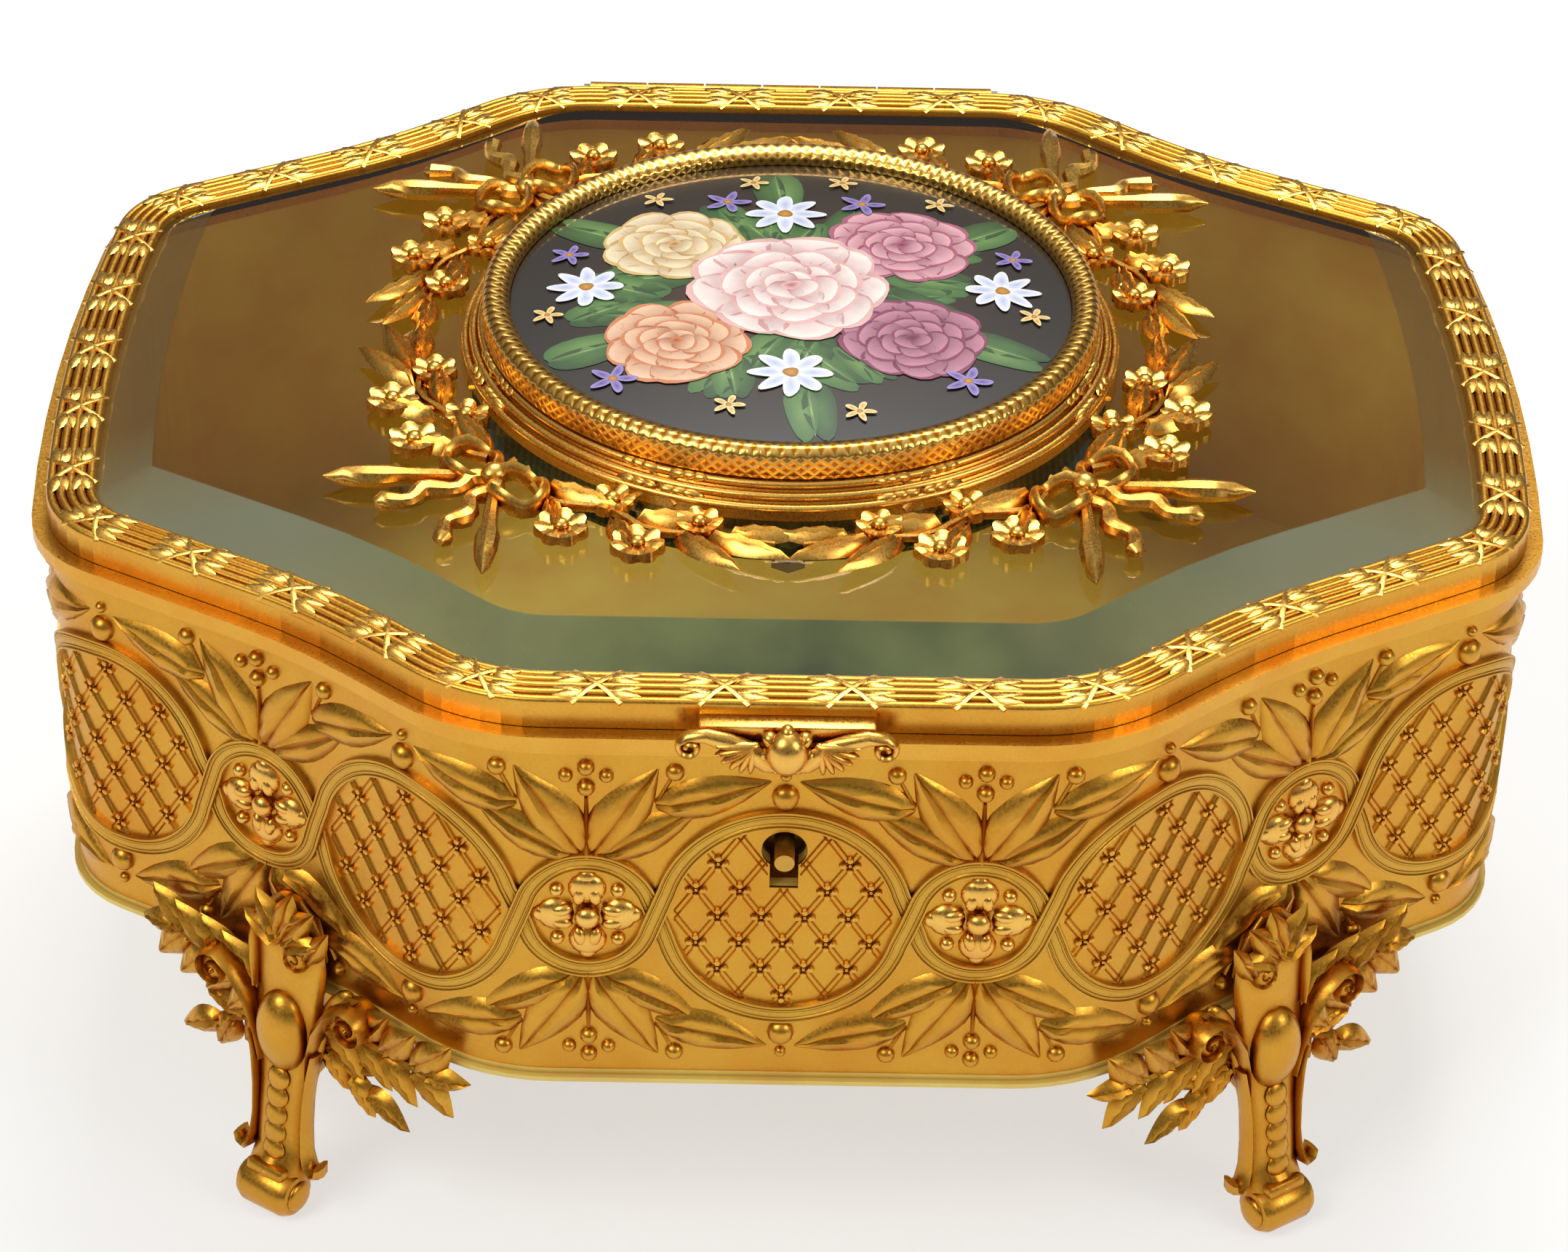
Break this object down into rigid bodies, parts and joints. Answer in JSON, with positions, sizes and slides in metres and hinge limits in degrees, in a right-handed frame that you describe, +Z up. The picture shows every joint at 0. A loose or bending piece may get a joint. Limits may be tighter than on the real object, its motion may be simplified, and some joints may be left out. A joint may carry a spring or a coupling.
{
  "type": "glass-lidded casket box",
  "caption": "Gilt metal table casket on scroll feet, with a serpentine plan and a hinged, locked lid of bevelled glass that carries a round porcelain plaque.",
  "frame": {"origin": "on the table, under the middle of the box", "axes": "+Z up, front towards -Y, +X to the right as seen from the front"},
  "size_m": [0.2242, 0.194, 0.1172],
  "materials": {
    "gilt_bronze": "matt gilding with burnished highlights and brown toning in the recesses",
    "lock_brass": "plain brushed brass",
    "steel": "filed steel",
    "crystal": "polished, with a wide bevel",
    "porcelain": "glazed, with a painted spray of flowers",
    "silk": "green silk on card"
  },
  "bodies": {
    "body": {"side_wall": "gilt_bronze", "wall_frieze": "gilt_bronze", "top_flange": "gilt_bronze", "base_plate": "gilt_bronze", "foot_front_left": "gilt_bronze", "foot_front_right": "gilt_bronze", "foot_back_left": "gilt_bronze", "foot_back_right": "gilt_bronze", "foot_screws": "steel", "foot_nuts": "steel", "lock_case": "lock_brass", "lock_cap": "lock_brass", "lock_post": "lock_brass", "lock_screws": "steel", "hinge_body_leaf": "gilt_bronze", "hinge_pin": "steel", "hinge_rivets": "gilt_bronze"},
    "lock_bolt": {"lock_bolt": "steel"},
    "lid": {"hinge_lid_leaf": "gilt_bronze", "lid_frame": "gilt_bronze", "rim_moulding": "gilt_bronze", "lid_glass": "crystal", "glass_retainer": "gilt_bronze", "thumb_piece": "gilt_bronze", "lock_strike": "lock_brass", "medallion_ring": "gilt_bronze", "medallion_bezel": "gilt_bronze", "porcelain_plaque": "porcelain", "backing_disc": "silk", "medallion_studs": "steel", "medallion_nuts": "steel", "wreath_front_left": "gilt_bronze", "wreath_front_right": "gilt_bronze", "wreath_back_left": "gilt_bronze", "wreath_back_right": "gilt_bronze"}
  },
  "joints": [
    {"name": "lid_hinge", "type": "hinge", "parent": "body", "child": "lid", "pos_m": [0, 0.0946, 0.0995], "axis": [-1, 0, 0], "range_deg": [0, 100]},
    {"name": "lock_bolt_slide", "type": "slide", "parent": "body", "child": "lock_bolt", "axis": [-1, 0, 0], "range_m": [0, 0.004]}
  ]
}
